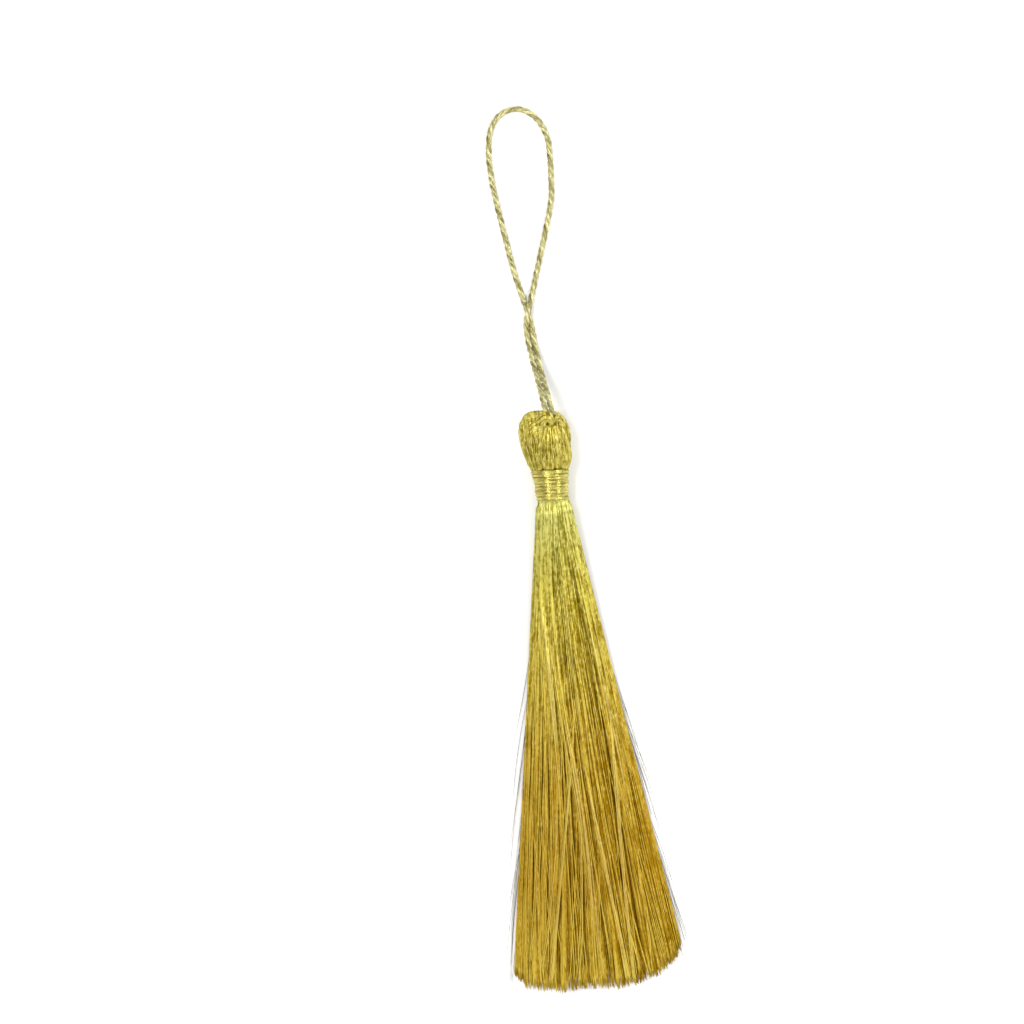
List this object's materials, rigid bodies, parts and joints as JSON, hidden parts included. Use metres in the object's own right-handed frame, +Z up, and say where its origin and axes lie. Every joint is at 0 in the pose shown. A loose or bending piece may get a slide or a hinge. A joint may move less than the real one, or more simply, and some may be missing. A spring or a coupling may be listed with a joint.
{
  "type": "silk tassel",
  "caption": "Lying tassel of silky metallic floss: domed head on a wound neck, flat spreading skirt and a twisted hanging loop.",
  "frame": {"origin": "on the surface that the tassel lies on, below the middle of its hank (head and skirt, without the cord)", "axes": "+Y along the tassel from the hem to the head and on to the cord's loop, +X across it to the right, +Z up from the surface"},
  "size_m": [0.0382, 0.1992, 0.0107],
  "materials": {
    "silk_floss": "glossy metallic gold silk floss, paler and greener by the neck, warm ochre by the hem",
    "binding_thread": "tightly wound glossy pale gold thread",
    "twisted_cord": "pale champagne gold twisted cord with a metallic sheen"
  },
  "bodies": {
    "root": {"yarn_hank": "silk_floss", "neck_binding": "binding_thread", "hanging_cord": "twisted_cord"}
  },
  "joints": []
}
